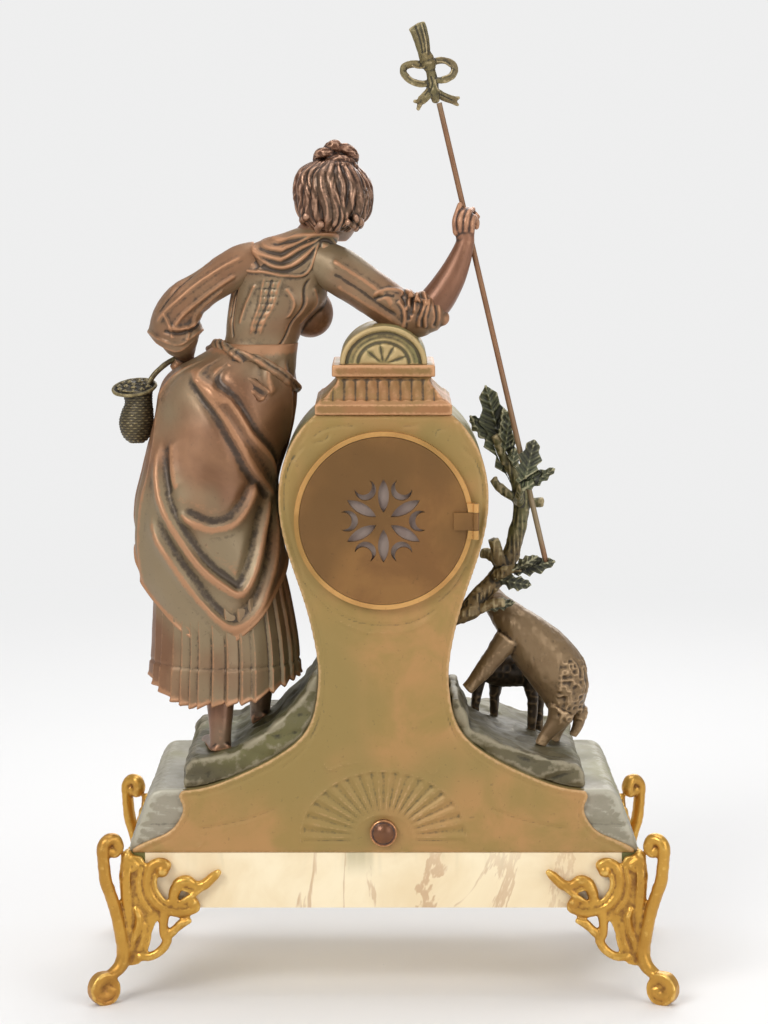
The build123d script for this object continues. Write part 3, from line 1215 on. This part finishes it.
# anchor, pendulum, its cock, hammer and bell behind the back plate
ANCHOR_RISE = 33.0
ANCHOR_ARM = 1.2
PALLET_TURNS = (40.0, 140.0)
PALLET_DISTANCE = 8.9
CRUTCH_DROP = 6.0
CRUTCH_Y = BACK_PLATE_Y - CRUTCH_DROP
COCK_THICK = 2.0
COCK_WIDE = 12.0
COCK_HIGH = 8.0
ROD_RADIUS = 1.0
BOB_RADIUS = 15.0
BOB_HALF_THICK = 4.5
BOB_SHARE = 0.443
HAMMER_PLACE = (33.0, 8.0)
HAMMER_HEAD_RADIUS = 3.0
HAMMER_HEAD_LONG = 8.0
HAMMER_ARM = 1.2
BELL_RADIUS = 26.0
BELL_HIGH = 20.0
BELL_WALL = 1.2
BELL_GAP = 0.8
BELL_DROP = 16.0
BELL_MOUTH_Y = BACK_PLATE_Y - BELL_DROP
BELL_TOP_Y = BELL_MOUTH_Y - BELL_HIGH
STANDARD_X = 12.0
STANDARD_RADIUS = 2.0
BELL_STUD_RADIUS = 1.5
BELL_NUT_RADIUS = 3.0
BELL_NUT_THICK = 1.8
HAMMER_TURN = 40.0


def flat_bar(first, second, width, y_low, y_high):
    """Bar between two places on the movement's face, round at both ends."""
    across = second[0] - first[0]
    rise = second[1] - first[1]
    length = hypot(across, rise)
    outline = Rot(0, 0, degrees(atan2(rise, across))) * (Pos(length / 2, 0) * Rectangle(length, width))
    outline = outline + Circle(width / 2) + Pos(across, rise) * Circle(width / 2)
    return prism(Pos(first[0], MOVEMENT_Z + first[1]) * outline, y_low, y_high)


def anchor():
    """Pallet anchor on the arbor that the crutch shares."""
    pivot = (0, ANCHOR_RISE)
    solid = arbor(pivot, THIN_ARBOR_RADIUS, CRUTCH_Y, FRONT_PLATE_Y + PLATE_THICK)
    for turn in PALLET_TURNS:
        tip = polar(escape_place(), PALLET_DISTANCE, turn)
        solid += flat_bar(pivot, tip, ANCHOR_ARM, ESCAPE_LEVEL, ESCAPE_LEVEL + WHEEL_THICK)
    return solid


def bob_z():
    return CASE_Z + BOB_SHARE * CASE_HEIGHT


def pendulum_rod():
    """Rod from the anchor's arbor down to the bob."""
    eye = arbor((0, ANCHOR_RISE), 2 * ROD_RADIUS, CRUTCH_Y - 2 * ROD_RADIUS, CRUTCH_Y)
    rod_foot = bob_z() + BOB_RADIUS - OVERRUN
    rod = post(0, CRUTCH_Y - ROD_RADIUS, ROD_RADIUS, rod_foot, MOVEMENT_Z + ANCHOR_RISE)
    return eye + rod


def pendulum_bob(rod):
    lens = ellipsoid(0, CRUTCH_Y - ROD_RADIUS, bob_z(), BOB_RADIUS, BOB_HALF_THICK, BOB_RADIUS)
    return lens - rod


def suspension_cock():
    """Bridge on the back plate that carries the rear pivot of the anchor."""
    z_mid = MOVEMENT_Z + ANCHOR_RISE
    z_range = (z_mid - COCK_HIGH / 2, z_mid + COCK_HIGH / 2)
    outer_y = BACK_PLATE_Y - 2 * COCK_THICK
    bridge = block((-COCK_WIDE / 2, COCK_WIDE / 2), (outer_y, BACK_PLATE_Y), z_range)
    space = block(
        (-COCK_WIDE / 2 + COCK_THICK, COCK_WIDE / 2 - COCK_THICK),
        (outer_y + COCK_THICK, BACK_PLATE_Y),
        (z_range[0] - OVERRUN, z_range[1] + OVERRUN),
    )
    bore = arbor((0, ANCHOR_RISE), THIN_ARBOR_RADIUS + PIN_GAP, outer_y - OVERRUN, BACK_PLATE_Y)
    return bridge - space - bore


def bell():
    """Thin bowl, its mouth toward the back plate."""
    inner_radius = BELL_RADIUS - BELL_WALL
    outer = ellipsoid(0, BELL_MOUTH_Y, MOVEMENT_Z, BELL_RADIUS, BELL_HIGH, BELL_RADIUS)
    inner = ellipsoid(0, BELL_MOUTH_Y, MOVEMENT_Z, inner_radius, BELL_HIGH - BELL_WALL, inner_radius)
    near = arbor((0, 0), 2 * BELL_RADIUS, BELL_MOUTH_Y, 0)
    bore = arbor((0, 0), BELL_STUD_RADIUS + PIN_GAP, BELL_TOP_Y - OVERRUN, BELL_MOUTH_Y)
    return outer - inner - near - bore


def bell_standard():
    """Cranked post from the back plate to the crown of the bell, with its nut."""
    arm_y = BELL_TOP_Y + BELL_WALL + 3 * BELL_NUT_THICK
    upright = arbor((STANDARD_X, 0), STANDARD_RADIUS, arm_y, BACK_PLATE_Y)
    arm = flat_bar((0, 0), (STANDARD_X, 0), 2 * STANDARD_RADIUS, arm_y, arm_y + STANDARD_RADIUS)
    stud = arbor((0, 0), BELL_STUD_RADIUS, BELL_TOP_Y - BELL_NUT_THICK, arm_y + STANDARD_RADIUS)
    nut = arbor((0, 0), BELL_NUT_RADIUS, BELL_TOP_Y - BELL_NUT_THICK, BELL_TOP_Y)
    collar = arbor((0, 0), BELL_NUT_RADIUS, BELL_TOP_Y + BELL_WALL + RUN_GAP, arm_y)
    return upright + arm + stud + nut + collar


def hammer():
    """Hammer on its own arbor, its head just clear of the bell's lip."""
    head_place = polar((0, 0), BELL_RADIUS + BELL_GAP + HAMMER_HEAD_RADIUS, HAMMER_TURN)
    arm_y = BELL_MOUTH_Y - HAMMER_ARM
    half_head = HAMMER_HEAD_LONG / 2
    shaft = arbor(HAMMER_PLACE, THIN_ARBOR_RADIUS, arm_y, FRONT_PLATE_Y + PLATE_THICK)
    arm = flat_bar(HAMMER_PLACE, head_place, 2 * HAMMER_ARM, arm_y, BELL_MOUTH_Y)
    head = arbor(head_place, HAMMER_HEAD_RADIUS, BELL_MOUTH_Y - half_head, BELL_MOUTH_Y + half_head)
    return shaft + arm + head


def build():
    tree = oak_branches()
    figure = figure_pieces()
    rod = pendulum_rod()
    pieces = {
        "marble_slab": marble_slab(),
        "corner_blocks": corner_blocks(),
        "base_fasteners": base_fasteners(),
        "case_base": case_base(),
        "case_shell": case_shell(),
        "case_back_panel": case_back_panel(),
        "panel_knob": panel_knob(),
        "case_cornice": case_cornice(),
        "case_pediment": case_pediment(),
        "rock_left": rock(ROCK_LEFT_SHARES),
        "rock_right": rock(ROCK_RIGHT_SHARES),
        "oak_branches": tree,
        "oak_leaves": oak_leaves(tree),
        "rear_bezel": rear_bezel(),
        "rear_door": rear_door(),
        "door_backing": door_backing(),
        "front_seat_ring": front_seat_ring(),
        "front_bezel": front_bezel(),
        "front_glass": front_glass(),
        "hinge_pins": hinge_pins(),
        "dial": dial(),
        "front_plate": front_plate(),
        "back_plate": movement_plate(BACK_PLATE_Y),
        "pillars": pillars(),
        "movement_straps": movement_straps(),
        "time_barrel": barrel(barrel_places()[0], TIME_BARREL_TURN + 180, GREAT_LEVEL),
        "strike_barrel": barrel(barrel_places()[1], PIN_WHEEL_TURN, STRIKE_LEVEL),
        "centre_wheel": centre_wheel(),
        "third_wheel": third_wheel(),
        "escape_wheel": escape_wheel(),
        "pin_wheel": pin_wheel(),
        "minute_wheel": minute_wheel(),
        "hour_wheel": hour_wheel(),
        "minute_hand": hand(MINUTE_HAND_LONG, MINUTE_HAND_TURN, MINUTE_HAND_LEVEL, ARBOR_RADIUS),
        "hour_hand": hand(HOUR_HAND_LONG, HOUR_HAND_TURN, HOUR_HAND_LEVEL, PIPE_RADIUS),
        "anchor": anchor(),
        "pendulum_rod": rod,
        "pendulum_bob": pendulum_bob(rod),
        "suspension_cock": suspension_cock(),
        "bell": bell(),
        "bell_standard": bell_standard(),
        "hammer": hammer(),
    }
    for side, side_name in ((-1, "left"), (1, "right")):
        for depth, depth_name in ((-1, "rear"), (1, "front")):
            pieces[f"foot_{depth_name}_{side_name}"] = foot(side, depth)
    pieces.update(figure)
    pieces["basket"] = basket(figure["left_arm"])
    pieces.update(staff_pieces())
    pieces.update(animal_pieces(tree))
    return pieces


for node, shape in build().items():
    export_step(shape, f"parts/{node}.step")
